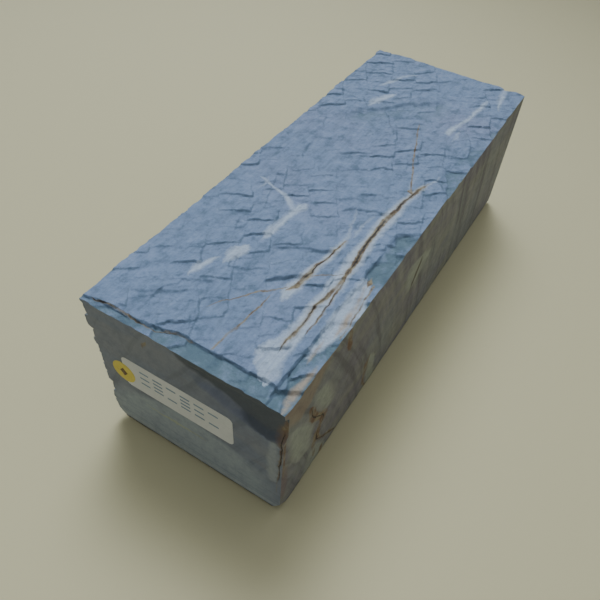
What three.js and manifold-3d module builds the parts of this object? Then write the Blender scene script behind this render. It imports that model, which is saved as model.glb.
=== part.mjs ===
// A natural sharpening stone: one sawn and split block of bedded slate, with a paper label and a round
// paper sticker on one end. It lies on its working face with the cleft skin up.
//
// X runs along the stone from the labelled end to the far end, Y across it towards the split flank, and
// Z up from the working face. The origin is the middle of the working face. All sizes are in millimetres.

import * as THREE from "three";
import { mergeVertices } from "three/addons/utils/BufferGeometryUtils.js";
import Module from "manifold-3d";

// The block
const length = 205;
const width = 75;
const height = 62.5;

// The split flank: beds of rock that step in towards the working face, with a ragged edge
const bedThickness = 5.2;
const flankLean = 5;
const ledgeDepth = 1.6;
const flankRaggedness = 1.2;
const raggedPitch = 6;

// The cleft skin: thin plates of rock that break off along uneven lines
const skinRelief = 1.7;
const plateRaggedness = 0.7;
const shelfAtLabelledEnd = 5;
const shelfAtSawnFlank = 6.5;

// Edges of the working face, eased so that the stone doesn't chip when it is used
const easedEdge = 1.3;
const wideEasedEdge = 3.5;

// The shallow hollow where a flake came off the labelled end, under the skin and by the sawn flank
const hollowDepth = 2.4;
const hollowHalfWidth = 21;
const hollowHalfHeight = 8;
const hollowFromSawnFlank = 8;
const hollowBelowSkin = 9;

// The label, and the sticker that laps over one end of it
const labelLength = 44;
const labelHeight = 14.8;
const labelCorner = 2;
const labelThickness = 0.1;
const labelFromSplitFlank = 13;
const labelAboveMiddle = 3;
const labelTilt = THREE.MathUtils.degToRad(0.5);
const stickerDiameter = 9.6;
const stickerThickness = 0.1;
const stickerLap = 4.5;
const stickerBelowLabelMiddle = 1.4;
const stickerFold = 0.4;

const wasm = await Module();
wasm.setup();

// A repeatable source of numbers from 0 to 1, so that the ragged edges come out the same each time.
function makeRandom(seed) {
  let state = seed;
  return () => {
    state = (state * 16807) % 2147483647;
    return state / 2147483647;
  };
}

// A closed three.js geometry as a solid that can be joined or cut.
function solidFrom(geometry) {
  const bare = geometry.clone();
  bare.deleteAttribute("normal");
  bare.deleteAttribute("uv");
  const merged = mergeVertices(bare, 1e-4);
  return new wasm.Manifold(
    new wasm.Mesh({
      numProp: 3,
      vertProperties: new Float32Array(merged.attributes.position.array),
      triVerts: new Uint32Array(merged.index.array),
    }),
  );
}

function geometryFrom(solid) {
  const mesh = solid.getMesh();
  const geometry = new THREE.BufferGeometry();
  geometry.setAttribute("position", new THREE.BufferAttribute(mesh.vertProperties, 3));
  geometry.setIndex(new THREE.BufferAttribute(mesh.triVerts, 1));
  geometry.computeVertexNormals();
  return geometry;
}

// A flat outline in X and Y, made into a slab from z = low to z = high.
function slab(points, low, high) {
  const shape = new THREE.Shape(points.map(([x, y]) => new THREE.Vector2(x, y)));
  const geometry = new THREE.ExtrudeGeometry(shape, { depth: high - low, bevelEnabled: false });
  geometry.translate(0, 0, low);
  return solidFrom(geometry);
}

// The points of a broken edge between two corners of an outline that runs anticlockwise, with a jag about
// every pitch, pushed inwards.
function brokenEdge([x0, y0], [x1, y1], pitch, raggedness, random) {
  const run = Math.hypot(x1 - x0, y1 - y0);
  const jags = Math.max(1, Math.round(run / pitch));
  const across = [-(y1 - y0) / run, (x1 - x0) / run];
  const points = [[x0, y0]];
  for (let jag = 1; jag < jags; jag += 1) {
    const along = (jag + 0.5 * (random() - 0.5)) / jags;
    const push = raggedness * random();
    points.push([x0 + along * (x1 - x0) + push * across[0], y0 + along * (y1 - y0) + push * across[1]]);
  }
  return points;
}

// ---- The block: beds from the working face up to the foot of the skin ----

const nearX = -length / 2;
const farX = length / 2;
const sawnY = -width / 2;
const splitY = width / 2;
const skinFoot = height - skinRelief;

// How far the split flank leans in from the full width, at a height above the working face.
function leanAt(z) {
  return flankLean * (1 - z / skinFoot);
}

// Each bed reaches a little into the one below, so that the two join.
const bedOverlap = 0.4;

function makeBeds() {
  const random = makeRandom(41);
  const count = Math.round(skinFoot / bedThickness);
  const pitch = skinFoot / count;
  let block = null;
  let low = 0;
  for (let bed = 1; bed <= count; bed += 1) {
    const high = bed === count ? skinFoot : pitch * (bed + 0.35 * (random() - 0.5));
    const flank = splitY - leanAt(high) - (bed === count ? 0 : ledgeDepth * random());
    const edge = brokenEdge([farX, flank], [nearX, flank], raggedPitch, flankRaggedness, random);
    const foot = Math.max(0, low - bedOverlap);
    const layer = slab([[nearX, sawnY], [farX, sawnY], ...edge, [nearX, flank]], foot, high);
    block = block ? block.add(layer) : layer;
    low = high;
  }
  return block;
}

// ---- The skin: plates given by their corners, in shares of the length and width, and their rise ----
// A share of 0 is the labelled end or the sawn flank, and 1 is the far end or the split flank.

const shelfX = nearX + shelfAtLabelledEnd;
const shelfY = sawnY + shelfAtSawnFlank;
const skinX = (share) => nearX + share * length;
const skinY = (share) => sawnY + share * width;

const plates = [
  // the shelf left along the labelled end and the sawn flank
  { rise: 0.3, corners: [[nearX, sawnY], [farX, sawnY], [farX, splitY], [nearX, splitY]] },
  // the main plate
  {
    rise: 0.62,
    corners: [
      [shelfX, shelfY],
      [skinX(0.27), shelfY],
      [skinX(0.4), skinY(0.1)],
      [skinX(0.43), skinY(0.02)],
      [skinX(0.58), skinY(0.02)],
      [skinX(0.7), skinY(0.08)],
      [farX, skinY(0.03)],
      [farX, splitY],
      [shelfX - 2, splitY],
      [shelfX - 1.5, skinY(0.65)],
    ],
  },
  // leaves that lie on it
  {
    rise: 0.8,
    corners: [
      [skinX(0.12), skinY(0.61)],
      [skinX(0.21), skinY(0.45)],
      [skinX(0.31), skinY(0.2)],
      [skinX(0.48), skinY(0.22)],
      [skinX(0.6), skinY(0.46)],
      [skinX(0.63), skinY(0.85)],
      [skinX(0.3), skinY(0.73)],
    ],
  },
  {
    rise: 1,
    corners: [
      [skinX(0.25), skinY(0.71)],
      [skinX(0.31), skinY(0.4)],
      [skinX(0.45), skinY(0.33)],
      [skinX(0.55), skinY(0.68)],
      [skinX(0.44), skinY(0.84)],
    ],
  },
  // the highest one, beyond the tallest step
  {
    rise: 1,
    corners: [
      [skinX(0.67), splitY],
      [skinX(0.66), skinY(0.88)],
      [skinX(0.73), skinY(0.72)],
      [skinX(0.8), skinY(0.56)],
      [skinX(0.89), skinY(0.29)],
      [skinX(0.98), skinY(0.34)],
      [farX, skinY(0.5)],
      [farX, splitY],
    ],
  },
];

function makeSkin() {
  const random = makeRandom(97);
  const onEnd = ([x0], [x1]) => x0 === x1 && Math.abs(x0) === farX;
  const onSawnFlank = ([, y0], [, y1]) => y0 === y1 && y0 === sawnY;
  let skin = null;
  for (const { rise, corners } of plates) {
    const outline = corners.flatMap((corner, index) => {
      const next = corners[(index + 1) % corners.length];
      const sawn = onEnd(corner, next) || onSawnFlank(corner, next);
      return brokenEdge(corner, next, raggedPitch, sawn ? 0 : plateRaggedness, random);
    });
    const plate = slab(outline, skinFoot - 1, skinFoot + rise * skinRelief);
    skin = skin ? skin.add(plate) : plate;
  }
  return skin;
}

// ---- Cuts: the eased edges of the working face, and the hollow in the labelled end ----

// A long wedge that takes a corner of the given size off an edge. The edge runs along local Z, and local
// X and Y point from the edge into the stone.
function edgeWedge(size, run) {
  const shape = new THREE.Shape();
  shape.moveTo(-1, -1);
  shape.lineTo(size + 1, -1);
  shape.lineTo(-1, size + 1);
  shape.closePath();
  const geometry = new THREE.ExtrudeGeometry(shape, { depth: run, bevelEnabled: false });
  geometry.translate(0, 0, -run / 2);
  return geometry;
}

function placedWedge(size, run, intoX, intoY, x, y) {
  const along = new THREE.Vector3(0, 0, 1).cross(new THREE.Vector3(intoX, intoY, 0));
  const inward = new THREE.Vector3(intoX, intoY, 0);
  const frame = new THREE.Matrix4().makeBasis(inward, new THREE.Vector3(0, 0, 1), along.negate());
  frame.setPosition(x, y, 0);
  return solidFrom(edgeWedge(size, run).applyMatrix4(frame));
}

function makeHollow() {
  const geometry = new THREE.SphereGeometry(1, 28, 16);
  geometry.scale(hollowDepth, hollowHalfWidth, hollowHalfHeight);
  geometry.translate(nearX, sawnY + hollowFromSawnFlank, height - hollowBelowSkin);
  return solidFrom(geometry);
}

function makeStone() {
  const long = length + 20;
  const wide = width + 20;
  const splitFoot = splitY - leanAt(0) - ledgeDepth / 2;
  const solid = makeBeds()
    .add(makeSkin())
    .subtract(placedWedge(easedEdge, long, 0, 1, 0, sawnY))
    .subtract(placedWedge(wideEasedEdge, long, 0, -1, 0, splitFoot))
    .subtract(placedWedge(easedEdge, wide, 1, 0, nearX, 0))
    .subtract(placedWedge(wideEasedEdge, wide, -1, 0, farX, 0))
    .subtract(makeHollow());
  const material = new THREE.MeshStandardMaterial({ color: 0x7d91a8, roughness: 0.85, metalness: 0 });
  const stone = new THREE.Mesh(geometryFrom(solid), material);
  stone.name = "stone_block";
  return stone;
}

// ---- The label and the sticker, in their own plane: X along the print, Z out of the stone ----

function makeLabel() {
  const right = labelLength / 2;
  const top = labelHeight / 2;
  const shape = new THREE.Shape();
  shape.moveTo(-right + labelCorner, -top);
  shape.lineTo(right - labelCorner, -top);
  shape.absarc(right - labelCorner, -top + labelCorner, labelCorner, -Math.PI / 2, 0);
  shape.absarc(right - labelCorner, top - labelCorner, labelCorner, 0, Math.PI / 2);
  shape.absarc(-right + labelCorner, top - labelCorner, labelCorner, Math.PI / 2, Math.PI);
  shape.absarc(-right + labelCorner, -top + labelCorner, labelCorner, Math.PI, 1.5 * Math.PI);
  const paper = { depth: labelThickness, bevelEnabled: false, curveSegments: 8 };
  const geometry = new THREE.ExtrudeGeometry(shape, paper);
  const material = new THREE.MeshStandardMaterial({ color: 0xe8e6dc, roughness: 0.7, metalness: 0 });
  const label = new THREE.Mesh(geometry, material);
  label.name = "paper_label";
  return label;
}

// The sticker lies on the label, folds down past its end, and goes on across the stone.
function makeSticker() {
  const radius = stickerDiameter / 2;
  const labelEnd = stickerLap - radius; // where the label ends, from the sticker's middle
  const onLabel = labelThickness;
  const shape = new THREE.Shape();
  shape.moveTo(-radius - 1, onLabel);
  shape.lineTo(labelEnd, onLabel);
  shape.lineTo(labelEnd + stickerFold, 0);
  shape.lineTo(radius + 1, 0);
  shape.lineTo(radius + 1, stickerThickness);
  shape.lineTo(labelEnd + stickerFold, stickerThickness);
  shape.lineTo(labelEnd, onLabel + stickerThickness);
  shape.lineTo(-radius - 1, onLabel + stickerThickness);
  shape.closePath();
  const strip = new THREE.ExtrudeGeometry(shape, { depth: stickerDiameter + 2, bevelEnabled: false });
  strip.translate(0, 0, -radius - 1);
  strip.rotateX(Math.PI / 2);
  const punch = new THREE.CylinderGeometry(radius, radius, 2, 48).rotateX(Math.PI / 2);
  const geometry = geometryFrom(solidFrom(strip).intersect(solidFrom(punch)));
  const material = new THREE.MeshStandardMaterial({ color: 0xe6cf2e, roughness: 0.55, metalness: 0 });
  const sticker = new THREE.Mesh(geometry, material);
  sticker.name = "round_sticker";
  sticker.position.set(labelLength / 2 - labelEnd, stickerBelowLabelMiddle, 0);
  return sticker;
}

// The print faces out of the labelled end and reads with the working face up.
function makeLabels() {
  const labels = new THREE.Group();
  labels.add(makeLabel(), makeSticker());
  labels.position.set(nearX, splitY - labelFromSplitFlank - labelLength / 2, height / 2 + labelAboveMiddle);
  const upright = new THREE.Matrix4().makeBasis(
    new THREE.Vector3(0, 1, 0),
    new THREE.Vector3(0, 0, -1),
    new THREE.Vector3(-1, 0, 0),
  );
  labels.quaternion.setFromRotationMatrix(upright);
  labels.rotateZ(labelTilt);
  return labels;
}

const whetstone = new THREE.Group();
whetstone.add(makeStone(), makeLabels());

export default whetstone;
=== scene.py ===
from math import cos, radians, sin

import bpy
import numpy as np
from mathutils import Matrix, Vector


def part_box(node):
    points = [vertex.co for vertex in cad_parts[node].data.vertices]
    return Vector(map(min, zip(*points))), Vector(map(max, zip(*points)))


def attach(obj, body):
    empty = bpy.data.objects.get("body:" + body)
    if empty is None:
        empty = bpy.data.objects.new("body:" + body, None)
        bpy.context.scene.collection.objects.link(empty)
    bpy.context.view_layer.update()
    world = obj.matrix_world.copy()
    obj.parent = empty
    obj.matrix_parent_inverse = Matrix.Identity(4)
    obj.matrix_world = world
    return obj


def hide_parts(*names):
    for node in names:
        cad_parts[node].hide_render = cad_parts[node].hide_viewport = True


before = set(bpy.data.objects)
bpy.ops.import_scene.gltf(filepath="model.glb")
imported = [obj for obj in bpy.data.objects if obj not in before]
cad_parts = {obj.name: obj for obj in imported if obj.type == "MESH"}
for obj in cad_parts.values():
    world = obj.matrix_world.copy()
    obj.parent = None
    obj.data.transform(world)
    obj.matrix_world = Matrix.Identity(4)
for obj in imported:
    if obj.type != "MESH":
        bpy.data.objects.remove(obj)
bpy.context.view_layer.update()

# ---- Studio -------------------------------------------------------------------------------------------
# A plain pale board to stand on, a soft box overhead, and cool light from a window beyond the far end and
# the split flank. The camera looks down on the labelled end.

mm = 0.001

camera_place = Vector((-179.8, -81.0, 202.6)) * mm
camera_turn, camera_dip, camera_roll = radians(28.46), radians(47.37), radians(4.44)
camera_lens = 37.2

ahead = Vector((cos(camera_dip) * cos(camera_turn), cos(camera_dip) * sin(camera_turn), -sin(camera_dip)))
level = ahead.cross(Vector((0, 0, 1))).normalized()
upright = level.cross(ahead)
across = level * cos(camera_roll) + upright * sin(camera_roll)
above = upright * cos(camera_roll) - level * sin(camera_roll)
camera_data = bpy.data.cameras.new("camera")
camera_data.lens = camera_lens
camera_data.clip_start = 0.01
camera = bpy.data.objects.new("camera", camera_data)
bpy.context.collection.objects.link(camera)
camera.matrix_world = Matrix.Translation(camera_place) @ Matrix((across, above, -ahead)).transposed().to_4x4()
bpy.context.scene.camera = camera

# the board lies a hair low, so that it and the working face aren't in one plane
board_gap = 0.02 * mm
bpy.ops.mesh.primitive_plane_add(size=8, location=(0, 0, -board_gap))
board = bpy.context.active_object
board.name = "board"
board_paint = bpy.data.materials.new("board_paint")
board_paint.use_nodes = True
board_shader = board_paint.node_tree.nodes["Principled BSDF"]
board_shader.inputs["Base Color"].default_value = (0.455, 0.425, 0.255, 1)
board_shader.inputs["Roughness"].default_value = 0.7
board.data.materials.append(board_paint)


def area_light(name, place, aim, size, spread, power, colour):
    data = bpy.data.lights.new(name, "AREA")
    data.shape, data.size, data.spread = "DISK", size, radians(spread)
    data.energy, data.color = power, colour
    light = bpy.data.objects.new(name, data)
    light.location = place
    light.rotation_euler = (Vector(aim) - Vector(place)).to_track_quat("-Z", "Y").to_euler()
    bpy.context.collection.objects.link(light)


area_light("softbox", (0.15, 0.0, 0.9), (0, 0.03, 0), 0.8, 120, 0.6, (0.93, 0.96, 1.0))
area_light("window", (0.42, 0.42, 0.85), (-0.08, 0.1, 0), 0.9, 38, 1.8, (0.90, 0.95, 1.0))

room = bpy.data.worlds.new("room")
bpy.context.scene.world = room
room.use_nodes = True
room.node_tree.nodes["Background"].inputs["Color"].default_value = (0.93, 0.97, 1.0, 1)
room.node_tree.nodes["Background"].inputs["Strength"].default_value = 0.43

# ---- The stone ----------------------------------------------------------------------------------------
# One block of bedded blue-grey slate, quarried and split. The top is the cleft skin, broken in thin
# overlapping plates, one flank is split along its beds, and the other flank, both ends and the working
# face underneath are sawn. Rust and pale veins run through it.

stone_low, stone_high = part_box("stone_block")
stone_length = (stone_high.x - stone_low.x) / mm
stone_width = (stone_high.y - stone_low.y) / mm
stone_height = (stone_high.z - stone_low.z) / mm

cuts_along, cuts_across, cuts_up, most_triangles = (24, 19), (14, 12), (14, 10), 190000

faces = {  # which way a face looks, its finish, and where it lies on the bake sheet, in mm
    "skin": ((0, 0, 1), (0, 0)),
    "working_face": ((0, 0, -1), (0, 80)),
    "sawn_flank": ((0, -1, 0), (0, 160)),
    "split_flank": ((0, 1, 0), (0, 228)),
    "labelled_end": ((-1, 0, 0), (210, 0)),
    "far_end": ((1, 0, 0), (210, 80)),
}
bake_sheet, sheet_margin = 292, 1

bpy.ops.object.select_all(action="DESELECT")
bpy.ops.mesh.primitive_cube_add(size=1, location=(stone_low + stone_high) / 2, scale=stone_high - stone_low)
stone = bpy.context.active_object
stone.name = "slate_block"
bpy.ops.object.transform_apply(location=True, rotation=True, scale=True)
while stone.data.uv_layers:
    stone.data.uv_layers.remove(stone.data.uv_layers[0])
sheet = stone.data.uv_layers.new(name="OFBake")
for polygon in stone.data.polygons:
    for index, (normal, corner) in enumerate(faces.values()):
        if polygon.normal.dot(Vector(normal)) > 0.9:
            polygon.material_index = index
            for loop in polygon.loop_indices:
                x, y, z = (stone.data.vertices[stone.data.loops[loop].vertex_index].co - stone_low) / mm
                flat = {0: (y, z), 1: (x, z), 2: (x, y)}[[abs(n) for n in normal].index(1)]
                u, v = flat[0] + corner[0] + sheet_margin, flat[1] + corner[1] + sheet_margin
                sheet.data[loop].uv = (u / bake_sheet, v / bake_sheet)


def divide_edges(piece, axis, parts):
    """Cuts every edge that runs along an axis into equal parts."""
    bpy.ops.object.mode_set(mode="EDIT")
    bpy.ops.mesh.select_mode(type="EDGE")
    bpy.ops.mesh.select_all(action="DESELECT")
    bpy.ops.object.mode_set(mode="OBJECT")
    places = np.zeros(len(piece.data.vertices) * 3)
    piece.data.vertices.foreach_get("co", places)
    ends = np.zeros(len(piece.data.edges) * 2, int)
    piece.data.edges.foreach_get("vertices", ends)
    run = np.abs(np.diff(places.reshape(-1, 3)[ends.reshape(-1, 2)], axis=1))[:, 0]
    piece.data.edges.foreach_set("select", run.argmax(axis=1) == axis)
    bpy.ops.object.mode_set(mode="EDIT")
    bpy.ops.mesh.subdivide(number_cuts=parts - 1)
    bpy.ops.object.mode_set(mode="OBJECT")


for axis, cuts in enumerate((cuts_along, cuts_across, cuts_up)):
    for parts in cuts:
        divide_edges(stone, axis, parts)


def lumps(u, v, size, seed):
    """Smooth random lumps from -1 to 1, about size across."""
    table = np.random.default_rng(seed).uniform(-1, 1, (128, 128))
    u, v = u / size, v / size
    column, row = np.floor(u).astype(int), np.floor(v).astype(int)
    a, b = u - column, v - row
    a, b = a * a * (3 - 2 * a), b * b * (3 - 2 * b)

    def corner(i, j):
        return table[(column + i) % 128, (row + j) % 128]

    low = corner(0, 0) * (1 - a) + corner(1, 0) * a
    high = corner(0, 1) * (1 - a) + corner(1, 1) * a
    return low * (1 - b) + high * b


def smooth(low, high, value):
    share = np.clip((value - low) / (high - low), 0, 1)
    return share * share * (3 - 2 * share)


# Steps in the skin, as (points along the foot of the step, rise, reach), in mm from the labelled end and
# from the sawn flank. The plate on the right of the line, as it runs, stands higher and falls away again.
skin_steps = [
    ([(24, 46), (20, 50), (14, 58), (10, 66)], 0.7, 7),
    ([(30, 43), (24, 52), (22, 56)], 0.6, 6),
    ([(44, 33), (39, 40), (35, 48)], 0.5, 6),
    ([(64, 14), (62, 20), (58, 30), (53, 38), (50, 41)], 0.8, 8),
    ([(52, 19), (46, 24), (41, 30), (36, 34)], 0.8, 6),
    ([(90, 14), (89, 20), (86, 26), (81, 30)], 0.7, 6),
    ([(97, 18), (100, 21), (96, 26), (92, 29)], 0.6, 5),
    ([(121, 35), (118, 42), (113, 50)], 0.7, 7),
    ([(112, 32), (108, 37), (104, 42)], 0.5, 6),
    ([(186, 35), (182, 38), (178, 41)], 0.6, 5),
    ([(198, 32), (194, 35), (190, 39)], 0.6, 5),
    ([(182, 22), (176, 28), (170, 34), (163, 42), (155, 47), (150, 54), (140, 60), (135, 66)], 1.5, 12),
    ([(160, 65), (158, 70), (156, 75)], 0.8, 6),
    ([(104, 67), (102, 71), (98, 75)], 0.5, 6),
    ([(85, 52), (82, 60), (78, 64)], 0.4, 5),
    ([(155, 28), (152, 31), (148, 33)], 0.6, 5),
    ([(5, 38), (14, 42), (22, 44), (30, 47)], -0.5, 5),
    ([(2, 55), (10, 57), (17, 56), (24, 52)], -0.5, 5),
    ([(35, 44), (38, 46), (42, 47)], -0.5, 5),
    ([(50, 53), (56, 56), (61, 57)], -0.6, 5),
    ([(62, 51), (72, 54), (82, 58), (95, 62)], -0.5, 6),
    ([(100, 57), (108, 60), (118, 61)], -0.6, 6),
    ([(125, 61), (130, 64), (136, 66)], -0.6, 6),
    ([(60, 56), (61, 53), (63, 50)], 0.6, 5),
    ([(116, 20), (124, 22), (132, 20)], -0.4, 5),
]


def step_height(s, t, points, rise, reach):
    """How a broken step lifts the plate on its right, as it runs, and sinks the one on its left."""
    nearest = np.full(s.shape, 1e9)
    side = np.zeros(s.shape)
    along = np.zeros(s.shape)
    lengths = [np.hypot(b[0] - a[0], b[1] - a[1]) for a, b in zip(points, points[1:])]
    done = 0.0
    for (a, b), run in zip(zip(points, points[1:]), lengths):
        unit = ((b[0] - a[0]) / run, (b[1] - a[1]) / run)
        forward = np.clip((s - a[0]) * unit[0] + (t - a[1]) * unit[1], 0, run)
        off_s, off_t = s - a[0] - forward * unit[0], t - a[1] - forward * unit[1]
        distance = np.hypot(off_s, off_t)
        closer = distance < nearest
        nearest = np.where(closer, distance, nearest)
        side = np.where(closer, off_s * unit[1] - off_t * unit[0], side)
        along = np.where(closer, (done + forward) / sum(lengths), along)
        done += run
    fade = smooth(0, 0.25, along) * smooth(0, 0.25, 1 - along) * 0.85 + 0.15
    beyond = np.sqrt(np.maximum(nearest**2 - side**2, 0))
    fade = fade * np.exp(-beyond / 1.5)
    return 0.5 * rise * fade * np.tanh(side / (0.2 + 0.5 * abs(rise) ** 2)) * np.exp(-nearest / reach)


def skin_roll(s, t):
    """Height of the bed that the skin follows, in mm."""
    return stone_height - 1.1 + 0.35 * lumps(s, t, 48, 1) + 0.15 * lumps(s, t, 19, 2)


def skin_level(s, t):
    """Height of the cleft skin, in mm, without its steps."""
    top = skin_roll(s, t)
    ragged = 0.5 * lumps(s, t, 4.5, 3) + 0.3 * lumps(s, t, 1.8, 4)
    # the plate ends short of the labelled end, and leaves a ledge
    plate_end = np.interp(
        t,
        [0, 6.5, 8, 15, 20, 30, 37, 41, 50, 60, 70, 75],
        [9, 5, 5.8, 6.2, 6, 5.4, 5.8, 5, 3.2, 2.8, 2.4, 1.5],
    )
    ledge = np.interp(t, [0, 10, 40, 75], [1.1, 1.0, 0.9, 0.7])
    top = top - (1 - smooth(-0.35, 0.35, s - plate_end + ragged)) * ledge
    # and short of the sawn flank, in three stretches
    shelf = np.interp(
        s,
        [0, 5, 48, 58, 61, 83, 85, 88, 89, 112, 120, 140, 150, 160, 205],
        [6.5, 6.5, 6.2, 5.5, 6.8, 6.5, 3.5, 0.5, -1, -1, 7.2, 6.5, 4.5, 2.8, 2.2],
    )
    drop = np.interp(
        s,
        [0, 5, 40, 55, 60, 84, 90, 118, 150, 205],
        [0.3, 1.1, 1.0, 0.6, 1.1, 1.1, 0.3, 0.7, 0.6, 0.5],
    )
    brink = np.interp(s, [0, 50, 110, 205], [0.35, 0.6, 1.6, 1.8])
    return top - (1 - smooth(-1, 1, (t - shelf + ragged) / brink)) * drop


def skin_plates(s, t):
    """The small plates all over the skin: rows of leaves that each rise at one edge and fall away again."""
    height = 0
    for row_pitch, leaf_pitch, rise, seed in ((10.5, 8.5, 1.0, 9), (5.6, 4.8, 0.4, 19)):
        warp = leaf_pitch / 4
        warped_s = s + warp * lumps(s, t, 1.5 * leaf_pitch, seed + 100) + 0.5 * lumps(s, t, 2.4, seed + 101)
        warped_t = t + warp * lumps(s, t, 1.7 * leaf_pitch, seed + 102) + 0.5 * lumps(s, t, 2.4, seed + 103)
        warped_s = warped_s + 0.2 * lumps(s, t, 0.9, seed + 104)
        chance = np.random.default_rng(seed).uniform(0, 1, (64, 64, 4))
        row_place = (warped_t * cos(radians(27)) - warped_s * sin(radians(27))) / row_pitch + 40
        row = np.floor(row_place).astype(int)
        leaf_place = (warped_s * 0.80 + warped_t * 0.60) / leaf_pitch + 7 * chance[row % 64, 0, 0] + 10
        leaf = np.floor(leaf_place).astype(int)
        own = chance[row % 64, leaf % 64]
        row_share, leaf_share = row_place - row, leaf_place - leaf
        fade = smooth(0, 0.25, row_share) * smooth(1, 0.75, row_share)
        leaf_edge = smooth(0, 0.4 / leaf_pitch, leaf_share)
        leaf_rise = (0.15 + 0.6 * own[:, 1] ** 1.3) * (1 - leaf_share) * leaf_edge * (0.7 + 0.3 * fade)
        row_rise = (0.08 + 0.37 * own[:, 2] ** 1.3) * (1 - row_share) * smooth(0, 0.4 / row_pitch, row_share)
        height = height + rise * (leaf_rise + row_rise)
    calm = smooth(-0.7, 0.0, lumps(s, t, 26, 10)) * (1 - 0.65 * smooth(56, 64, t) * (1 - smooth(80, 100, s)))
    return height * (0.45 + 0.55 * calm) - 0.4


def skin_height(s, t):
    height = skin_level(s, t) + skin_plates(s, t)
    for points, rise, reach in skin_steps:
        ragged_s = s + 0.5 * lumps(s, t, 3.1, 11)
        ragged_t = t + 0.5 * lumps(s, t, 3.1, 12)
        height = height + step_height(ragged_s, ragged_t, points, rise, reach)
    return height + 0.05 * lumps(s, t, 1.3, 13) + 0.03 * lumps(s, t, 0.7, 14)


flank_lean = 4.9


def flank_inset(s, z):
    """How far the split flank stands in: beds that step, each with its own ragged edge."""
    lean = flank_lean * (1 - z / stone_height)
    wander = 0.7 * lumps(s, z, 37, 21) + 0.25 * lumps(s, z, 9, 22) + 2.2 * lumps(0 * s, z, 12, 27)
    bed_place = (z + wander) / 5.3 + 0.2
    bed = np.floor(bed_place).astype(int)
    share = bed_place - bed
    # every bed broke off in blocks, each with its own depth and tilt
    chance = np.random.default_rng(28).uniform(-1, 1, (64, 64, 3))
    block_place = (s + 3 * lumps(s, z, 7, 29)) / 17 + 3 * chance[bed % 64, 0, 2] + 8
    block = np.floor(block_place).astype(int)
    block_share = block_place - block
    own, following = chance[bed % 64, block % 64], chance[bed % 64, (block + 1) % 64]
    turn = smooth(0.86, 1, block_share)
    depth = own[:, 0] * (1 - turn) + following[:, 0] * turn
    tilt = own[:, 1] * (1 - turn) + following[:, 1] * turn
    edge = 0.75 * depth + 0.6 * tilt * (share - 0.5) + 0.3 * lumps(s, bed * 97.0, 17, 23)
    edge = edge + 0.35 * lumps(s, bed * 53.0, 4.1, 24)
    edge = edge * (0.35 + 0.65 * smooth(0, 8, stone_height - z))
    undercut = 1.1 * (1 - smooth(0, 0.16, share)) + 0.35 * smooth(0.85, 1, share)
    rough = 0.3 * lumps(s, z, 2.3, 25) + 0.16 * lumps(s, z, 0.9, 26)
    return np.maximum(lean + 0.5 + edge + undercut + rough, 0.05)


def hollow_depth(t, z):
    """The flake's hollow in the labelled end, under the skin and by the sawn flank."""
    lip = np.interp(t, [0, 7, 15, 30, 36], [46, 43.5, 46, 51, 59])
    over_lip = smooth(0, 3.2, z - lip + 0.7 * lumps(t, z, 5, 31))
    return 2.3 * over_lip * smooth(0, 2.6, stone_height - 1.6 - z) * smooth(37, 22, t)


def eased(foot, inward, up, size):
    """Moves what lies outside a 45 degree easing of a bottom edge onto it."""
    outside = np.maximum(size - (inward - foot) - up, 0) / 2
    return inward + outside, up + outside


sawn_easing, split_easing, far_easing = 1.3, 3.4, 3.2

places = np.zeros(len(stone.data.vertices) * 3)
stone.data.vertices.foreach_get("co", places)
places = places.reshape(-1, 3) / mm
s = places[:, 0] + stone_length / 2
t = places[:, 1] + stone_width / 2
z = places[:, 2].copy()
below_skin = stone_height - z

from_split = stone_width - t
flank_share = smooth(14, 0, from_split)
t_new = t - flank_inset(s, z) * flank_share
t_new += 0.35 * np.maximum(lumps(s, z, 4, 41), 0) ** 2 * np.exp(-below_skin / 1.0) * smooth(3, 0, t)
s_new = s + hollow_depth(t, z) * smooth(6, 0, s)
s_new += 0.5 * np.maximum(lumps(t, z, 3, 42), 0) ** 2 * np.exp(-below_skin / 0.9) * smooth(3, 0, s)
far_hollows = 0.25 * (1 + lumps(t, z, 21, 43))
far_chips = 2.2 * np.maximum(lumps(t, z, 9, 44), 0) ** 2 * np.exp(-below_skin / 2.2)
s_new -= (far_hollows + far_chips) * smooth(6, 0, stone_length - s)
z_new = z * skin_height(s_new, t_new) / stone_height
jagged = 1 + 0.25 * lumps(s, t, 3, 45)
t_new, z_new = eased(0, t_new, z_new, sawn_easing * jagged)
s_new, z_new = eased(0, s_new, z_new, sawn_easing * jagged)
from_foot, z_new = eased(flank_lean + 0.8, stone_width - t_new, z_new, split_easing * jagged)
t_new = stone_width - from_foot
from_far, z_new = eased(0, stone_length - s_new, z_new, far_easing * jagged)
s_new = stone_length - from_far
# the foot of the labelled end's sawn corner is knocked off, to these distances along its three edges
knocked = (6, 4, 6)
break_plane = 1 + 0.12 * lumps(s, z, 3, 46)
missing = np.maximum(break_plane - s_new / knocked[0] - t_new / knocked[1] - z_new / knocked[2], 0)
missing /= sum(1 / size**2 for size in knocked)
s_new, t_new, z_new = (place + missing / size for place, size in zip((s_new, t_new, z_new), knocked))
shaped = np.column_stack((s_new - stone_length / 2, t_new - stone_width / 2, z_new)) * mm
stone.data.vertices.foreach_set("co", shaped.ravel())
stone.data.update()

stone.modifiers.new("thin_out", "DECIMATE").ratio = most_triangles / (2 * len(stone.data.polygons))
bpy.context.view_layer.objects.active = stone
bpy.ops.object.modifier_apply(modifier="thin_out")
bpy.ops.object.select_all(action="DESELECT")
stone.select_set(True)
bpy.ops.object.shade_smooth_by_angle(angle=radians(40))

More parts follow.
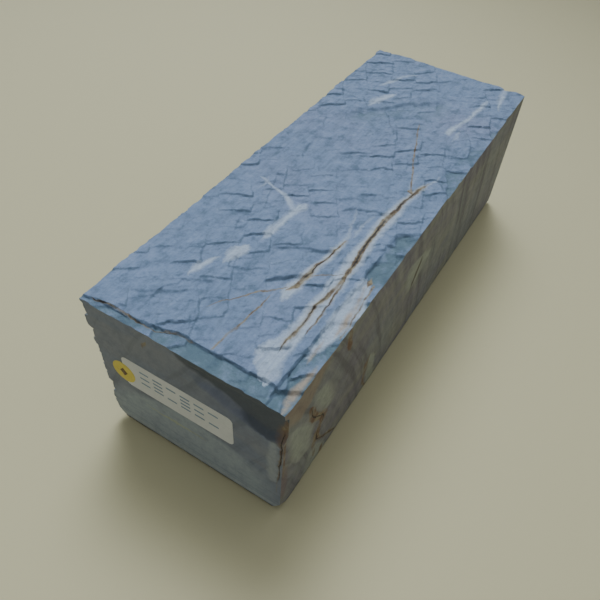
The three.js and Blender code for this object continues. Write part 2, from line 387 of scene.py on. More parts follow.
places = np.zeros(len(stone.data.vertices) * 3)
stone.data.vertices.foreach_get("co", places)
places = places.reshape(-1, 3) / mm
s, t = places[:, 0] + stone_length / 2, places[:, 1] + stone_width / 2
sunk = stone.data.attributes.new("sunk", "FLOAT", "POINT")
sunk.data.foreach_set("value", (skin_roll(s, t) - places[:, 2]).astype(np.float32))
# The skin's slope, read by its material to darken the steep risers with painted shade and some darker colour
# of their own.
reach = 0.3
rise_s = skin_height(s + reach, t) - skin_height(s - reach, t)
rise_t = skin_height(s, t + reach) - skin_height(s, t - reach)
slope = np.hypot(rise_s, rise_t) / (2 * reach)
steep = stone.data.attributes.new("steep", "FLOAT", "POINT")
steep.data.foreach_set("value", slope.astype(np.float32))


def add_node(tree, kind, sockets=(), **settings):
    """Adds a node. Each socket's value is a number, a colour, or another node's output to link."""
    node = tree.nodes.new(kind)
    for name, value in settings.items():
        setattr(node, name, value)
    for socket, value in dict(sockets).items():
        if isinstance(value, bpy.types.NodeSocket):
            tree.links.new(value, node.inputs[socket])
        else:
            node.inputs[socket].default_value = value
    return node


def sum_node(tree, operation, a, b=0.0, clamp=False):
    return add_node(tree, "ShaderNodeMath", {0: a, 1: b}, operation=operation, use_clamp=clamp).outputs[0]


def mix_colours(tree, share, a, b):
    node = add_node(tree, "ShaderNodeMix", data_type="RGBA")
    for socket, value in ((0, share), (6, a), (7, b)):
        if isinstance(value, bpy.types.NodeSocket):
            tree.links.new(value, node.inputs[socket])
        else:
            node.inputs[socket].default_value = value if socket == 0 else (*value, 1)
    return node.outputs[2]


def noise(tree, place, scale, detail=3.0, roughness=0.55, distortion=0.0):
    sockets = {"Vector": place, "Scale": scale, "Detail": detail, "Roughness": roughness}
    sockets["Distortion"] = distortion
    return add_node(tree, "ShaderNodeTexNoise", sockets).outputs["Fac"]


def spread(tree, value, low, high, to_low=0.0, to_high=1.0):
    """Maps a value between two limits, eased at both ends."""
    sockets = {"Value": value, "From Min": low, "From Max": high, "To Min": to_low, "To Max": to_high}
    return add_node(tree, "ShaderNodeMapRange", sockets, interpolation_type="SMOOTHSTEP").outputs[0]


curve_span = 100  # the mm that a curve's full height stands for


def curve_of(tree, value, reach, points):
    """A smooth run through points, given and read in mm, over the length called reach."""
    node = add_node(tree, "ShaderNodeFloatCurve", {"Value": sum_node(tree, "DIVIDE", value, reach)})
    curve = node.mapping.curves[0]
    while len(curve.points) < len(points):
        curve.points.new(0.5, 0.5)
    for handle, (x, y) in zip(curve.points, sorted(points)):
        handle.location = (x / reach, y / curve_span)
        handle.handle_type = "AUTO_CLAMPED"
    node.mapping.update()
    return sum_node(tree, "MULTIPLY", node.outputs[0], curve_span)


def vein(tree, along, side, reach, points, softness):
    """Covers a strip along a line: 1 inside, 0 outside. Each point is (along, side, half width), in mm."""
    middle = curve_of(tree, along, reach, [(a, b) for a, b, _ in points])
    ends = [(points[0][0] - 1.5, 0), (points[-1][0] + 1.5, 0)]
    half = curve_of(tree, along, reach, ends + [(a, w) for a, _, w in points])
    off = sum_node(tree, "ABSOLUTE", sum_node(tree, "SUBTRACT", side, middle))
    inside = sum_node(tree, "DIVIDE", sum_node(tree, "SUBTRACT", half, off), softness)
    return sum_node(tree, "MAXIMUM", inside, 0, clamp=True)


def strongest(tree, shares):
    total = shares[0]
    for share in shares[1:]:
        total = sum_node(tree, "MAXIMUM", total, share)
    return total


def stone_material(name):
    """A new material with the place in mm, from the labelled end, the sawn flank and the working face."""
    material = bpy.data.materials.new(name)
    material.use_nodes = True
    tree = material.node_tree
    place = add_node(tree, "ShaderNodeTexCoord").outputs["Object"]
    parts = add_node(tree, "ShaderNodeSeparateXYZ", {0: place})
    s = sum_node(tree, "MULTIPLY_ADD", parts.outputs[0], 1000)
    t = sum_node(tree, "MULTIPLY_ADD", parts.outputs[1], 1000)
    s.node.inputs[2].default_value = stone_length / 2
    t.node.inputs[2].default_value = stone_width / 2
    z = sum_node(tree, "MULTIPLY", parts.outputs[2], 1000)
    return material, tree, place, s, t, z


def wobble(tree, place, value, size, amount, shift):
    """Pushes a coordinate to and fro by up to an amount, in lumps of a size, both in mm."""
    sockets = {0: place, 1: (shift, 0.3 * shift, 0)}
    moved = add_node(tree, "ShaderNodeVectorMath", sockets, operation="ADD").outputs[0]
    push = sum_node(tree, "SUBTRACT", noise(tree, moved, 1 / (size * mm), 2), 0.5)
    return sum_node(tree, "ADD", value, sum_node(tree, "MULTIPLY", push, 2 * amount))


def finish_surface(tree, colour, roughness, bumps):
    """Joins the colour and the bumps, each (height, depth in mm), to the shader."""
    shader = tree.nodes["Principled BSDF"]
    tree.links.new(colour, shader.inputs["Base Color"])
    tree.links.new(roughness, shader.inputs["Roughness"])
    shader.inputs["Specular IOR Level"].default_value = 0.35
    normal = None
    for height, depth in bumps:
        sockets = {"Height": height, "Distance": depth * mm, "Strength": 1.0}
        if normal:
            sockets["Normal"] = normal
        normal = add_node(tree, "ShaderNodeBump", sockets).outputs[0]
    tree.links.new(normal, shader.inputs["Normal"])


def times(share, colour):
    """A lighter or darker copy of a colour."""
    return tuple(share * c for c in colour)


# Veins of the skin. Each point is (from the labelled end, from the sawn flank, half width), in mm.
pale_veins = [
    [(6, 10.5, 2.5), (10, 12.5, 5), (15, 14, 5), (21, 13, 3.6), (30, 12.6, 3.4), (45, 12.2, 3.3)]
    + [(60, 12.8, 3.4), (75, 13.3, 3.2), (92, 12.9, 3.0), (104, 11.8, 2.2), (113, 10, 1.3), (122, 7.6, 0.5)],
    [(34, 23.2, 1.0), (38, 23.4, 3.0), (44, 22.8, 2.6), (54, 21.6, 2.3), (66, 20.4, 2.0), (71, 20.8, 1.1)]
    + [(80, 22.8, 0.8), (87, 24.8, 0.4)],
    [(72, 19, 0.5), (80, 18.8, 0.9), (88, 18.4, 0.4)],
    [(107, 13.6, 0.6), (114, 15.2, 0.8), (121, 15.8, 0.2)],
    [(27, 53.2, 1.2), (31, 53, 2.2), (36, 51.4, 1.6), (38, 50.5, 0.7)],
    [(38, 47.4, 1.2), (41, 47.6, 2.8), (45, 46.8, 3.0), (48.5, 45.8, 1.3)],
    [(55, 44, 1.4), (60, 43.6, 2.3), (68, 43.3, 2.2), (75, 42.6, 2.4), (78, 41.8, 1.7)],
    [(76, 61, 0.3), (80, 60.8, 0.9), (85, 61.2, 0.3)],
    [(152, 16.6, 0.8), (156, 17, 2.0), (163, 15.6, 1.5), (172, 13.8, 1.4), (180, 13, 1.6), (189, 12.2, 0.6)],
    [(149, 12.8, 0.5), (153, 13, 1.2), (158, 13.5, 0.5)],
    [(183, 5.2, 0.6), (190, 7.2, 1.6), (198, 8.6, 1.8), (205, 9, 1.8)],
    [(153, 54.6, 1.1), (158, 53.4, 2.5), (165, 50.8, 2.3), (169, 49.6, 0.8)],
    [(171, 57.8, 0.6), (176, 56.8, 1.5), (184, 53.4, 1.1), (192, 48.5, 0.7)],
    [(20, 5.2, 0.8), (27, 4.4, 2.4), (34, 3.6, 4.0), (42, 3.4, 4.2), (50, 4.4, 3.6), (57, 5.4, 1.6)],
]
beige_patches = [
    [(1, 1.5, 1.0), (6, 2.2, 1.8), (12, 1.6, 1.6), (18, 1.0, 0.8)],
    [(18, 4.2, 0.5), (22, 4.4, 0.9), (28, 4.8, 0.6)],
    [(31, 2.4, 0.6), (38, 2.6, 1.5), (48, 3.4, 1.3), (54, 4.6, 0.8)],
]
steep_pale_veins = [  # the same, but (from the sawn flank, from the labelled end, half width)
    [(42.5, 72.6, 1.4), (47, 76, 1.6), (51, 78.6, 1.4), (56, 80.2, 0.9), (61, 81.8, 0.9), (64, 82.6, 0.4)],
]
rust_veins = [
    [(18, 13.2, 0.4), (28, 12.8, 0.7), (36, 13.1, 0.7), (43, 12.3, 0.9), (53, 11.6, 0.9), (59, 12, 1.1)]
    + [(67, 12.8, 1.1), (75, 13.6, 1.1), (85, 13.6, 1.1), (93, 13.1, 1.0), (101, 12.8, 0.9), (105, 11.7, 0.9)]
    + [(111, 10.7, 0.7), (116, 9.6, 0.3)],
    [(27, 10, 0.4), (36, 10.1, 0.6), (44, 10.4, 0.6), (53, 11.2, 0.5)],
    [(39, 24, 0.7), (41, 23, 1.1), (45, 22.4, 1.1), (53, 22, 0.8), (60, 20.9, 0.7), (69, 20, 0.5)],
    [(7, 29.6, 0.5), (13, 28.9, 0.5), (20, 27.6, 0.5), (33, 27.3, 0.35)],
    [(20, 40, 0.35), (27, 35, 0.45), (33, 31, 0.55), (39, 25.6, 0.6)],
    [(106, 12.4, 0.6), (107, 13.4, 1.4), (109, 13.8, 0.5), (115, 16.3, 0.5), (128, 21.3, 0.5)]
    + [(140, 25.6, 0.5), (152, 29.8, 0.35)],
    [(32, 0.6, 0.4), (44, 1.6, 0.4), (56, 2.4, 0.5)],
    [(55, 4, 0.5), (57.3, 4.2, 1.2), (59, 4.4, 0.4)],
]
steep_rust_veins = [
    [(36, 5.6, 0.25), (43, 4.7, 0.4), (50, 2.6, 0.35), (59, 3, 0.45), (66, 2.6, 0.5), (71, 2.2, 0.2)],
    [(12.3, 55, 0.3), (16, 52, 0.5), (21.5, 48, 0.4)],
]
crack_veins = [
    [(17, 13.2, 0.15), (28, 12.8, 0.3), (36, 13.1, 0.25), (43, 12.3, 0.35), (53, 11.6, 0.35), (59, 12, 0.4)]
    + [(67, 12.8, 0.42), (75, 13.6, 0.45), (85, 13.6, 0.42), (93, 13.1, 0.36), (101, 12.8, 0.4)]
    + [(105, 11.7, 0.3), (111, 10.7, 0.1)],
    [(42, 22.8, 0.15), (48, 22.2, 0.3), (58, 21.2, 0.25), (66, 20.2, 0.15)],
    [(24, 10, 0.1), (36, 10.1, 0.2), (44, 10.4, 0.2), (53, 11.2, 0.1)],
]
steep_crack_veins = [
    [(42, 4.7, 0.1), (50, 2.6, 0.3), (59, 3, 0.34), (66, 2.6, 0.4), (71, 2.2, 0.1)],
]

slate_blue = (0.140, 0.205, 0.325)
slate_deep = (0.06, 0.10, 0.145)
slate_purple = (0.185, 0.198, 0.305)
slate_green = (0.075, 0.132, 0.165)
vein_pale = (0.35, 0.43, 0.54)
rust_light = (0.235, 0.198, 0.12)
rust_brown = (0.11, 0.072, 0.038)
rust_red = (0.15, 0.07, 0.035)
stain_tan = (0.36, 0.335, 0.25)
beige_tone = (0.34, 0.29, 0.225)
crack_dark = (0.035, 0.028, 0.022)

skin, tree, place, s, t, z = stone_material("cleft_slate")
line_s = wobble(tree, place, wobble(tree, place, s, 6, 0.9, 3.1), 1.6, 0.35, 5.2)
line_t = wobble(tree, place, wobble(tree, place, t, 6, 0.9, 7.7), 1.6, 0.35, 9.4)
torn_s, torn_t = wobble(tree, place, line_s, 2.6, 2.2, 4.4), wobble(tree, place, line_t, 2.6, 1.1, 6.1)
torn_t = wobble(tree, place, torn_t, 0.8, 0.6, 2.7)
reach_s, reach_t = stone_length + 5, stone_width + 5
pale = strongest(
    tree,
    [vein(tree, torn_s, torn_t, reach_s, points, 1.5) for points in pale_veins]
    + [vein(tree, line_t, line_s, reach_t, points, 1.0) for points in steep_pale_veins],
)
rust = strongest(
    tree,
    [vein(tree, line_s, line_t, reach_s, points, 0.45) for points in rust_veins]
    + [vein(tree, line_t, line_s, reach_t, points, 0.45) for points in steep_rust_veins],
)
# the rock beside the two widest rust veins is stained tan
stain = strongest(
    tree,
    [
        vein(tree, torn_s, line_t, reach_s, [(a, b, half + 0.9) for a, b, half in points], 1.6)
        for points in (rust_veins[0], rust_veins[2])
    ],
)
crack = strongest(
    tree,
    [vein(tree, line_s, line_t, reach_s, points, 0.15) for points in crack_veins]
    + [vein(tree, line_t, line_s, reach_t, points, 0.15) for points in steep_crack_veins],
)
beige = strongest(tree, [vein(tree, torn_s, line_t, reach_s, points, 1.2) for points in beige_patches])
clouds = noise(tree, place, 28, 4)
tint = noise(tree, place, 14, 2)
grain = noise(tree, place, 900, 3, 0.7)
mottle = noise(tree, place, 210, 4, 0.65)
low_ground = add_node(tree, "ShaderNodeAttribute", attribute_name="sunk").outputs["Fac"]
colour = mix_colours(tree, spread(tree, clouds, 0.35, 0.7), slate_blue, times(1.12, slate_blue))
colour = mix_colours(tree, spread(tree, tint, 0.45, 0.75, 0, 0.6), colour, slate_purple)
riser_shade_and_tone = add_node(tree, "ShaderNodeAttribute", attribute_name="steep").outputs["Fac"]
grain_sockets = {"Vector": place, "Scale": (0.22, 1, 1), "Rotation": (0, 0, radians(-24))}
along_grain = add_node(tree, "ShaderNodeMapping", grain_sockets).outputs[0]
streaks = noise(tree, along_grain, 620, 3, 0.6)
colour = mix_colours(tree, spread(tree, streaks, 0.45, 0.7, 0, 0.3), colour, times(1.35, slate_blue))
colour = mix_colours(tree, spread(tree, streaks, 0.5, 0.28, 0, 0.3), colour, slate_deep)
colour = mix_colours(tree, spread(tree, low_ground, 0.4, 1.15, 0, 0.88), colour, slate_green)
colour = mix_colours(tree, spread(tree, mottle, 0.5, 0.7, 0, 0.55), colour, slate_deep)
colour = mix_colours(tree, spread(tree, mottle, 0.5, 0.28, 0, 0.35), colour, times(1.45, slate_blue))
# the steep risers are darker: painted shade, and partly their own darker colour
colour = mix_colours(tree, spread(tree, riser_shade_and_tone, 0.12, 0.8, 0, 0.6), colour, slate_deep)
along_veins = add_node(tree, "ShaderNodeMapping", {"Vector": place, "Scale": (0.14, 1, 1)}).outputs[0]
fibres = noise(tree, along_veins, 480, 4, 0.6, 0.3)
fibre_strength = spread(tree, fibres, 0.34, 0.54, 0.6, 1)
pale_strength = sum_node(tree, "MULTIPLY", pale, spread(tree, mottle, 0.3, 0.55, 0.75, 1))
pale_strength = sum_node(tree, "MULTIPLY", pale_strength, fibre_strength)
colour = mix_colours(tree, pale_strength, colour, vein_pale)
stain_strength = sum_node(tree, "MULTIPLY", stain, spread(tree, mottle, 0.35, 0.6, 0.25, 0.6))
colour = mix_colours(tree, stain_strength, colour, stain_tan)
beige_strength = sum_node(tree, "MULTIPLY", beige, spread(tree, mottle, 0.35, 0.6, 0.4, 0.9))
colour = mix_colours(tree, beige_strength, colour, beige_tone)
rust_strength = sum_node(tree, "MULTIPLY", rust, spread(tree, noise(tree, place, 160, 3), 0.3, 0.55, 0.45, 1))
colour = mix_colours(tree, rust_strength, colour, rust_light)
rust_core = sum_node(tree, "MULTIPLY", rust_strength, spread(tree, noise(tree, place, 330, 3), 0.42, 0.6))
colour = mix_colours(tree, rust_core, colour, rust_brown)
crack_strength = sum_node(tree, "MULTIPLY", crack, spread(tree, noise(tree, place, 120, 2), 0.38, 0.55))
colour = mix_colours(tree, crack_strength, colour, crack_dark)
colour = mix_colours(tree, spread(tree, grain, 0.3, 0.7, 0, 0.16), colour, slate_deep)
finish_surface(
    tree,
    colour,
    spread(tree, mottle, 0.3, 0.7, 0.62, 0.85),
    [(mottle, 0.8), (streaks, 0.5), (grain, 0.2), (sum_node(tree, "MULTIPLY", crack, -1), 0.15)],
)

# The sawn faces: duller, browner rock with faint bands along the beds and rust where cracks come out.
sawn_grey = (0.18, 0.20, 0.21)
sawn_olive = (0.225, 0.23, 0.19)
sawn_plum = (0.175, 0.165, 0.185)
sawn_pale = (0.33, 0.36, 0.29)
end_grey = (0.178, 0.205, 0.252)
# the middle of the saw blade, in mm along the face and up it
saw_centre = (-103, -40)
strip_blur = 0.3


def sawn_material(name, runs_along, stretch, tints, patches, rusts, cracks, arc_strength=0.4, strips=()):
    """Sawn slate. Veins run up the face: each point is (height, place along the face, half width)."""
    material, tree, place, s, t, z = stone_material(name)
    along = s if runs_along == "s" else t
    squeeze = {"Vector": place, "Scale": stretch[0], "Rotation": stretch[1]}
    squeezed = add_node(tree, "ShaderNodeMapping", squeeze).outputs[0]
    bands = noise(tree, squeezed, 55, 4, 0.6, 0.4)
    # the blade's arcs, about a centre that lies beyond the stone's foot
    out_along = sum_node(tree, "SUBTRACT", along, saw_centre[0])
    out_up = sum_node(tree, "SUBTRACT", z, saw_centre[1])
    squares = [sum_node(tree, "POWER", out, 2) for out in (out_along, out_up)]
    from_centre = sum_node(tree, "SQRT", sum_node(tree, "ADD", *squares))
    from_centre = wobble(tree, place, from_centre, 14, 1.8, 1.7)
    arc_sockets = {0: from_centre, 1: sum_node(tree, "MULTIPLY", z, 0.05)}
    arc_place = add_node(tree, "ShaderNodeCombineXYZ", arc_sockets).outputs[0]
    arcs = noise(tree, arc_place, 0.22, 5, 0.6)
    clouds = noise(tree, place, 24, 3)
    mottle = noise(tree, place, 240, 4, 0.65)
    grain = noise(tree, place, 1000, 3, 0.7)
    colour = mix_colours(tree, spread(tree, bands, 0.38, 0.62), tints[0], tints[1])
    colour = mix_colours(tree, spread(tree, clouds, 0.4, 0.7, 0, 0.7), colour, tints[2])
    dark_arcs = spread(tree, arcs, 0.5, 0.66, 0, arc_strength)
    colour = mix_colours(tree, dark_arcs, colour, times(0.55, tints[0]))
    light_arcs = spread(tree, arcs, 0.5, 0.34, 0, 0.6 * arc_strength)
    colour = mix_colours(tree, light_arcs, colour, times(1.25, tints[1]))
    line_a = wobble(tree, place, wobble(tree, place, along, 9, 1.6, 2.3), 2, 0.5, 4.1)
    line_z = wobble(tree, place, wobble(tree, place, z, 9, 1.6, 6.9), 2, 0.5, 8.8)
    reach = stone_height + 5
    # patches of other colour; on the labelled end they also paint light on its lower part and shade in the
    # flake's hollow
    for points, softness, strength, tone in patches:
        share = sum_node(tree, "MULTIPLY", vein(tree, line_z, line_a, reach, points, softness), strength)
        colour = mix_colours(tree, share, colour, tone)
    # level strips of colour; the lowest on a face is painted shade along its eased foot
    for low, high, strength, tone in strips:
        over_low = spread(tree, z, low - strip_blur, low + strip_blur)
        under_high = spread(tree, z, high + strip_blur, high - strip_blur)
        share = sum_node(tree, "MULTIPLY", over_low, under_high)
        colour = mix_colours(tree, sum_node(tree, "MULTIPLY", share, strength), colour, tone)
    if rusts:
        rust = strongest(tree, [vein(tree, line_z, line_a, reach, points, 0.6) for points in rusts])
        rust = sum_node(tree, "MULTIPLY", rust, spread(tree, noise(tree, place, 140, 3), 0.3, 0.6, 0.3, 1))
        colour = mix_colours(tree, rust, colour, rust_light)
        rust_core = sum_node(tree, "MULTIPLY", rust, spread(tree, mottle, 0.4, 0.6))
        colour = mix_colours(tree, rust_core, colour, rust_red)
    bumps = [(mottle, 0.12), (grain, 0.08)]
    if cracks:
        crack = strongest(tree, [vein(tree, line_z, line_a, reach, points, 0.2) for points in cracks])
        colour = mix_colours(tree, crack, colour, crack_dark)
        bumps.append((sum_node(tree, "MULTIPLY", crack, -1), 0.4))
    colour = mix_colours(tree, spread(tree, mottle, 0.45, 0.75, 0, 0.3), colour, times(0.7, tints[0]))
    colour = mix_colours(tree, spread(tree, grain, 0.3, 0.7, 0, 0.2), colour, times(0.6, tints[0]))
    finish_surface(tree, colour, spread(tree, mottle, 0.3, 0.7, 0.6, 0.8), bumps)
    return material


flank_patches = [
    ([(29, 30, 3), (34, 27, 5), (40, 24, 5.5), (46, 21, 5), (49, 18, 2)], 3.5, 0.7, sawn_pale),
    ([(19, 14, 5), (24, 12, 7), (32, 11, 8), (40, 8, 6), (44, 5, 3)], 3.5, 0.7, sawn_pale),
    ([(0, 22, 9), (6, 22, 8), (12, 20, 5)], 3, 0.6, sawn_pale),
    ([(0, 65, 4), (8, 64, 4.5), (16, 63, 4), (21, 61, 2)], 2, 0.85, sawn_pale),
    ([(30, 93, 5), (34, 95, 10), (38, 97, 13), (42, 93, 11), (46, 88, 5)], 4, 0.7, sawn_pale),
    ([(29, 92.5, 0.8), (33, 94, 1.8), (38, 96, 1.8), (42, 97.5, 0.8)], 0.8, 0.95, (0.07, 0.055, 0.035)),
    ([(47, 9, 3), (51, 10, 9), (57, 12, 13), (62, 14, 18)], 4, 0.7, (0.27, 0.205, 0.14)),
    ([(10, 1, 1.5), (18, 1, 3), (26, 1, 3), (30, 0, 1.5)], 1.5, 0.6, (0.17, 0.12, 0.115)),
]
flank_rusts = [
    [(0, 40, 0.8), (8.5, 30.5, 1.4), (18, 22, 2.2), (22.7, 22.6, 2.6), (26.7, 25.6, 3.2), (34, 19.5, 2.8)]
    + [(43.8, 15.1, 1.6)],
    [(6, 21.8, 0.9), (12, 20.6, 1.4), (18.2, 20.2, 1.0)],
    [(0, 26.8, 1.2), (2.8, 26.8, 1.4), (5.5, 27, 0.6)],
    [(1, 64, 0.6), (3, 60, 0.9), (9.9, 57.8, 1.5), (18.2, 57.8, 2.0), (21.7, 59.8, 0.8)],
    [(24, 0.6, 0.3), (34, 0.8, 0.8), (44, 0.8, 0.9), (48, 1, 0.4)],
    [(47, 39.2, 0.5), (50, 38.6, 1.5), (53, 38, 1.8), (60, 37.5, 1.2)],
]
flank_cracks = [
    [(0, 40, 0.2), (8.5, 30.5, 0.35), (18, 22, 0.35), (22.7, 22.6, 0.3), (26.7, 25.6, 0.5), (34, 19.5, 0.4)]
    + [(43.8, 15.1, 0.1)],
]
split_rusts = [
    [(0, 60, 0.5), (9, 61, 1.4), (17, 58, 0.8), (25, 60, 0.4)],
    [(33, 128, 0.3), (41, 126, 1.6), (50, 129, 0.9), (59, 127, 0.3)],
    [(14, 168, 0.4), (22, 171, 1.1), (30, 170, 0.4)],
]
end_patches_light_and_shade = [
    # the lower part of the end is lighter: partly the stone's paler colour there, partly painted light
    # against the board's shade
    ([(0, 38, 40), (10, 38, 40), (18, 38, 36), (27, 38, 12)], 12, 0.85, (0.30, 0.345, 0.36)),
    ([(20, 3, 2.5), (33, 3.5, 2.6), (43, 3.5, 2.2)], 1.5, 0.7, (0.30, 0.33, 0.33)),
    # a dark patch in the flake's hollow under the skin: painted shade
    ([(44, 7, 6), (49, 9, 12), (54, 14, 17), (60, 18, 22)], 3, 0.85, (0.06, 0.07, 0.082)),
    ([(43, 1, 1.5), (48, 1, 3.0), (53, 0, 2.4)], 2, 0.85, (0.16, 0.11, 0.07)),
    ([(18.5, 42, 2), (19.2, 42, 14), (19.9, 42, 2)], 2.0, 0.7, (0.36, 0.38, 0.25)),
]
end_bands_and_foot_shade = [
    # the lowest strip, along the eased foot, is painted shade
    (-5, 2.0, 0.9, (0.055, 0.042, 0.03)),
    (2.6, 4.4, 0.6, (0.37, 0.41, 0.40)),
    (6.2, 6.7, 0.3, (0.10, 0.115, 0.12)),
    (11.0, 11.4, 0.25, (0.10, 0.115, 0.12)),
]
flank_foot_shade = [
    # a dark strip along the eased foot: painted shade
    (-5, 1.6, 0.8, (0.06, 0.05, 0.042)),
]
end_rusts = [
    [(14, 1.0, 0.3), (24, 0.9, 0.5), (34, 0.6, 0.7), (44, 0.5, 0.9), (50, 1.2, 1.2), (54, 1.0, 0.5)],
    [(53, 51, 0.3), (55, 50, 1.0), (57, 49, 0.4)],
]
end_cracks = [
    [(22, 0.6, 0.1), (30, 0.5, 0.22), (40, 0.5, 0.25), (47, 0.8, 0.1)],
]
# how a face's bands are squeezed and turned
beds_flat = ((0.4, 1.2, 1), (0, 0, 0))
beds_level = ((0.5, 0.5, 3.2), (0, 0, 0))
beds_dipping = ((0.35, 0.5, 1.6), (0, radians(-38), 0))
# the two tints of a face's bands, and that of its clouds
honed_tints = ((0.2, 0.235, 0.26), (0.22, 0.25, 0.265), (0.18, 0.22, 0.25))
flank_tints = (sawn_plum, sawn_olive, sawn_grey)
split_tints = ((0.095, 0.125, 0.155), (0.16, 0.20, 0.235), (0.17, 0.18, 0.17))
end_tints = (end_grey, (0.20, 0.215, 0.24), (0.155, 0.175, 0.22))
far_tints = (sawn_grey, (0.19, 0.2, 0.195), (0.17, 0.18, 0.18))
flank_marks = (flank_patches, flank_rusts, flank_cracks)
end_marks = (end_patches_light_and_shade, end_rusts, end_cracks)
stone_finishes = {
    "skin": skin,
    "working_face": sawn_material("honed_slate", "s", beds_flat, honed_tints, [], [], []),
    "sawn_flank": sawn_material(
        "sawn_flank_slate", "s", beds_dipping, flank_tints, *flank_marks, 0.7, flank_foot_shade
    ),
    "split_flank": sawn_material("split_flank_slate", "s", beds_level, split_tints, [], split_rusts, [], 0),
    "labelled_end": sawn_material(
        "labelled_end_slate", "t", beds_level, end_tints, *end_marks, 0.4, end_bands_and_foot_shade
    ),
    "far_end": sawn_material("far_end_slate", "t", beds_level, far_tints, [], [], []),
}
for name in faces:
    stone.data.materials.append(stone_finishes[name])
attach(stone, "root")
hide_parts("stone_block")

# ---- The label ----------------------------------------------------------------------------------------
# White coated paper with round corners, punched from a roll, printed in grey-blue ink and stuck by its
# own glue. It lies on the sawn end, and its print reads with the working face up.

label_low, label_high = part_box("paper_label")
label_long, label_tall, label_corner = 44 * mm, 14.8 * mm, 2 * mm
label_thick = label_high.x - label_low.x
label_tilt = radians(0.5)
label_middle = (label_low + label_high) / 2
# local X along the print, local Y up it, local Z out of the end, at the face of the stone
label_frame = (
    Matrix.Translation((label_high.x, label_middle.y, label_middle.z))
    @ Matrix(((0, 0, -1), (1, 0, 0), (0, -1, 0))).to_4x4()
    @ Matrix.Rotation(label_tilt, 4, "Z")
)


def place_on_end(piece):
    """Moves a finished piece from its own plane onto the labelled end, with its place in its mesh."""
    piece.data.transform(label_frame @ piece.matrix_world)
    piece.matrix_world = Matrix.Identity(4)


def paper_material(name, paper, shade, roughness):
    material = bpy.data.materials.new(name)
    material.use_nodes = True
    tree = material.node_tree
    place = add_node(tree, "ShaderNodeTexCoord").outputs["Object"]
    fibres = noise(tree, place, 700, 5, 0.7)
    smudges = noise(tree, place, 90, 3)
    colour = mix_colours(tree, spread(tree, smudges, 0.42, 0.7, 0, 0.5), paper, shade)
    colour = mix_colours(tree, spread(tree, fibres, 0.45, 0.75, 0, 0.2), colour, times(0.8, shade))
    paper_roughness = spread(tree, fibres, 0.3, 0.7, roughness - 0.05, roughness + 0.1)
    finish_surface(tree, colour, paper_roughness, [(fibres, 0.03)])
    return material


bpy.ops.object.select_all(action="DESELECT")
bpy.ops.mesh.primitive_plane_add(size=1, location=(0, 0, 0))
label = bpy.context.active_object
label.name = "price_label"
label.scale = (label_long, label_tall, 1)
bpy.ops.object.transform_apply(scale=True)
bpy.ops.object.mode_set(mode="EDIT")
bpy.ops.mesh.select_all(action="SELECT")
bpy.ops.mesh.bevel(offset=label_corner, segments=8, affect="VERTICES")
bpy.ops.mesh.extrude_region_move(TRANSFORM_OT_translate={"value": (0, 0, label_thick)})
bpy.ops.mesh.select_all(action="SELECT")
bpy.ops.mesh.normals_make_consistent(inside=False)
bpy.ops.object.mode_set(mode="OBJECT")
label.data.materials.append(paper_material("label_paper", (0.60, 0.61, 0.585), (0.52, 0.53, 0.51), 0.5))

ink = paper_material("label_ink", (0.16, 0.23, 0.30), (0.22, 0.29, 0.36), 0.6)
ink_lift = 0.012 * mm
mark_tall, mark_wide, mark_line = 6.7 * mm, 3.9 * mm, 0.85 * mm
mark_pitch = 5.5 * mm
mark_row = -1.0 * mm
first_mark = label_long / 2 - 9.1 * mm
marks = []


def ink_dash(x, y, wide, tall):
    bpy.ops.object.select_all(action="DESELECT")
    bpy.ops.mesh.primitive_plane_add(size=1, location=(x, y, label_thick + ink_lift))
    dash = bpy.context.active_object
    dash.scale = (wide, tall, 1)
    bpy.ops.object.transform_apply(location=True, scale=True)
    bpy.ops.object.mode_set(mode="EDIT")
    bpy.ops.mesh.select_all(action="SELECT")
    bpy.ops.mesh.bevel(offset=min(wide, tall) * 0.3, segments=3, affect="VERTICES")
    bpy.ops.object.mode_set(mode="OBJECT")
    return dash


for place_in_row, dashes in enumerate((3, 4, 2, 4, 3, 2)):
    for dash in range(dashes):
        up = mark_row + (dash / (dashes - 1) - 0.5) * (mark_tall - mark_line)
        marks.append(ink_dash(first_mark - place_in_row * mark_pitch, up, mark_wide, mark_line))
for mark in marks:
    if mark.data.polygons[0].normal.z < 0:
        mark.data.flip_normals()
    mark.data.materials.append(ink)
bpy.ops.object.select_all(action="DESELECT")
for piece in (*marks, label):
    piece.select_set(True)
bpy.context.view_layer.objects.active = label
bpy.ops.object.join()
place_on_end(label)
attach(label, "root")
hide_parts("paper_label")

# ---- The round sticker --------------------------------------------------------------------------------
# A small yellow paper dot with a printed brown diamond. It was stuck on last, so it laps over the label's
# end and follows the fold down onto the stone.

sticker_low, sticker_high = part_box("round_sticker")
sticker_radius = (sticker_high.y - sticker_low.y) / 2
sticker_thick = 0.1 * mm
sticker_middle = label_frame.inverted() @ ((sticker_low + sticker_high) / 2)
label_edge = label_long / 2
fold = 1.2 * mm

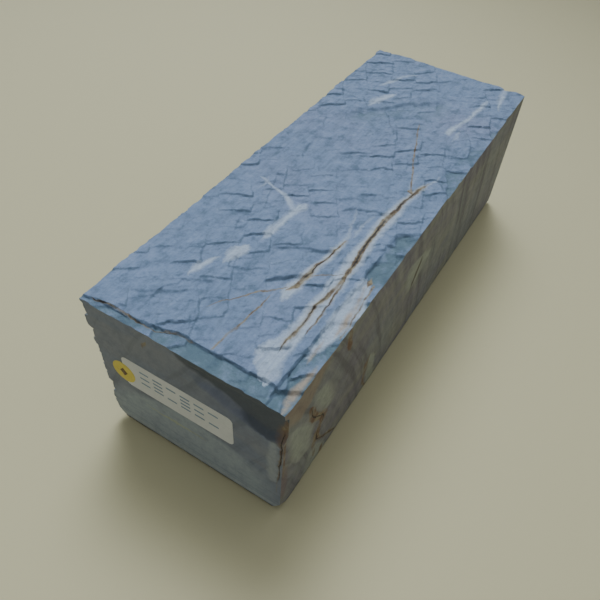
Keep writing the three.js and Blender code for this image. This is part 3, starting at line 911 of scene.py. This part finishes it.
bpy.ops.object.select_all(action="DESELECT")
bpy.ops.mesh.primitive_circle_add(
    vertices=96, radius=sticker_radius, fill_type="NGON", location=(sticker_middle.x, sticker_middle.y, 0)
)
sticker = bpy.context.active_object
sticker.name = "yellow_dot"
bpy.ops.object.transform_apply(location=True)
bpy.ops.object.mode_set(mode="EDIT")
bpy.ops.mesh.select_all(action="SELECT")
bpy.ops.mesh.extrude_region_move(TRANSFORM_OT_translate={"value": (0, 0, sticker_thick)})
bpy.ops.mesh.select_all(action="SELECT")
bpy.ops.mesh.normals_make_consistent(inside=False)
bpy.ops.object.mode_set(mode="OBJECT")
sticker.data.materials.append(paper_material("sticker_paper", (0.62, 0.50, 0.06), (0.54, 0.42, 0.05), 0.45))

bpy.ops.object.select_all(action="DESELECT")
diamond_corners = [(-1.7, 0), (0, 2.1), (1.7, 0), (0, -2.1)]
bpy.ops.mesh.primitive_circle_add(vertices=len(diamond_corners), radius=mm, fill_type="NGON")
diamond = bpy.context.active_object
diamond.name = "diamond"
for vertex, (x, y) in zip(diamond.data.vertices, diamond_corners):
    vertex.co = (sticker_middle.x + x * mm, sticker_middle.y - y * mm, sticker_thick + ink_lift)
if diamond.data.polygons[0].normal.z < 0:
    diamond.data.flip_normals()
diamond.data.materials.append(paper_material("sticker_ink", (0.10, 0.05, 0.02), (0.16, 0.09, 0.03), 0.5))
bpy.ops.object.select_all(action="DESELECT")
diamond.select_set(True)
sticker.select_set(True)
bpy.context.view_layer.objects.active = sticker
bpy.ops.object.join()
bpy.ops.object.mode_set(mode="EDIT")
for line in (0, 0.25, 0.5, 0.75, 1):
    bpy.ops.mesh.select_all(action="SELECT")
    bpy.ops.mesh.bisect(plane_co=(label_edge + line * fold, 0, 0), plane_no=(1, 0, 0))
bpy.ops.object.mode_set(mode="OBJECT")
for vertex in sticker.data.vertices:
    on_label = 1 - min(max((vertex.co.x - label_edge) / fold, 0), 1)
    vertex.co.z += label_thick * on_label * on_label * (3 - 2 * on_label)
place_on_end(sticker)
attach(sticker, "root")
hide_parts("round_sticker")
